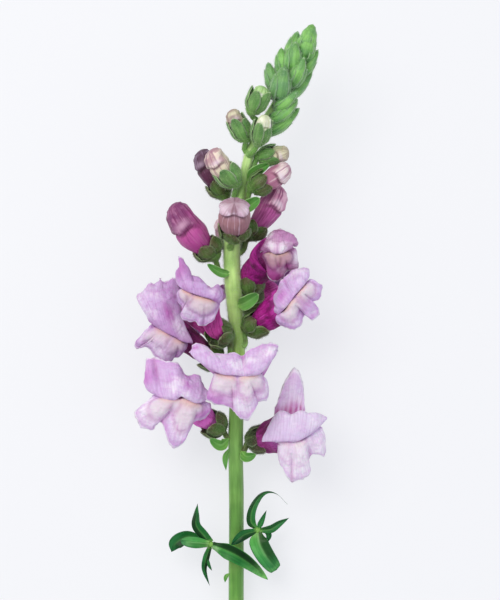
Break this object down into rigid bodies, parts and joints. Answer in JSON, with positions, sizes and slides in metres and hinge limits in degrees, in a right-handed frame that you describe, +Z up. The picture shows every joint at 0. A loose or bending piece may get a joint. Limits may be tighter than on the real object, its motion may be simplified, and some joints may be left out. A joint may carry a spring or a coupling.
{
  "type": "snapdragon flower spike",
  "caption": "Cut snapdragon spike lying on its back: pale lilac-pink two-lipped flowers, buds towards the tip, leafy green stem.",
  "frame": {"origin": "bottom centre of the bounding box: the middle of its footprint, on the surface that the spike lies on", "axes": "+Y along the spike from its cut end to its tip, +Z up from the surface that it lies on towards its front, +X to the right of a viewer who looks down on the front with the tip away"},
  "size_m": [0.0802, 0.2654, 0.0532],
  "materials": {
    "open_petals": "matt, velvety, pale lilac-pink with magenta shading and a peach palate",
    "bud_petals": "matt, velvety, magenta to dusky mauve",
    "young_petals": "matt, cream and pale yellow-green",
    "calyx": "matt dark green with paler edges and a purple tinge",
    "stem": "satin yellow-green, darker low down, with fine lengthwise ribs",
    "leaf": "satin deep blue-green with a lighter midrib",
    "tip_bracts": "satin fresh green with paler edges"
  },
  "bodies": {
    "root": {"back_bud_calyx": "calyx", "back_bud_petals": "bud_petals", "back_left_bud_calyx": "calyx", "back_left_bud_petals": "bud_petals", "back_left_flower_calyx": "calyx", "back_left_flower_petals": "open_petals", "back_right_flower_calyx": "calyx", "back_right_flower_petals": "open_petals", "front_bud_calyx": "calyx", "front_bud_petals": "bud_petals", "front_flower_calyx": "calyx", "front_flower_petals": "open_petals", "high_front_bud_calyx": "calyx", "high_front_bud_petals": "young_petals", "high_left_bud_calyx": "calyx", "high_left_bud_petals": "young_petals", "high_right_bud_calyx": "calyx", "high_right_bud_petals": "young_petals", "left_bud_calyx": "calyx", "left_bud_petals": "bud_petals", "left_flower_calyx": "calyx", "left_flower_petals": "open_petals", "left_front_flower_calyx": "calyx", "left_front_flower_petals": "open_petals", "left_shoot_front_leaf": "leaf", "left_shoot_inner_leaf": "leaf", "left_shoot_left_leaf": "leaf", "left_shoot_lower_leaf": "leaf", "left_shoot_top_leaf": "leaf", "lower_left_flower_calyx": "calyx", "lower_left_flower_petals": "open_petals", "lower_right_flower_calyx": "calyx", "lower_right_flower_petals": "open_petals", "right_bud_calyx": "calyx", "right_bud_petals": "bud_petals", "right_flower_calyx": "calyx", "right_flower_petals": "open_petals", "right_shoot_curved_leaf": "leaf", "right_shoot_inner_leaf": "leaf", "right_shoot_lower_leaf": "leaf", "right_shoot_right_leaf": "leaf", "right_shoot_small_leaf": "leaf", "right_upper_flower_calyx": "calyx", "right_upper_flower_petals": "open_petals", "stem": "stem", "tip_cone": "tip_bracts", "tip_front_bud": "tip_bracts", "tip_front_scale": "tip_bracts", "tip_left_scale": "tip_bracts", "tip_lower_right_bud": "tip_bracts", "tip_right_bud": "tip_bracts", "tip_upper_left_scale": "tip_bracts", "tip_upper_right_bud": "tip_bracts", "top_left_bud_calyx": "calyx", "top_left_bud_petals": "young_petals", "upper_left_bud_calyx": "calyx", "upper_left_bud_petals": "young_petals", "upper_right_bud_calyx": "calyx", "upper_right_bud_petals": "bud_petals"}
  },
  "joints": []
}
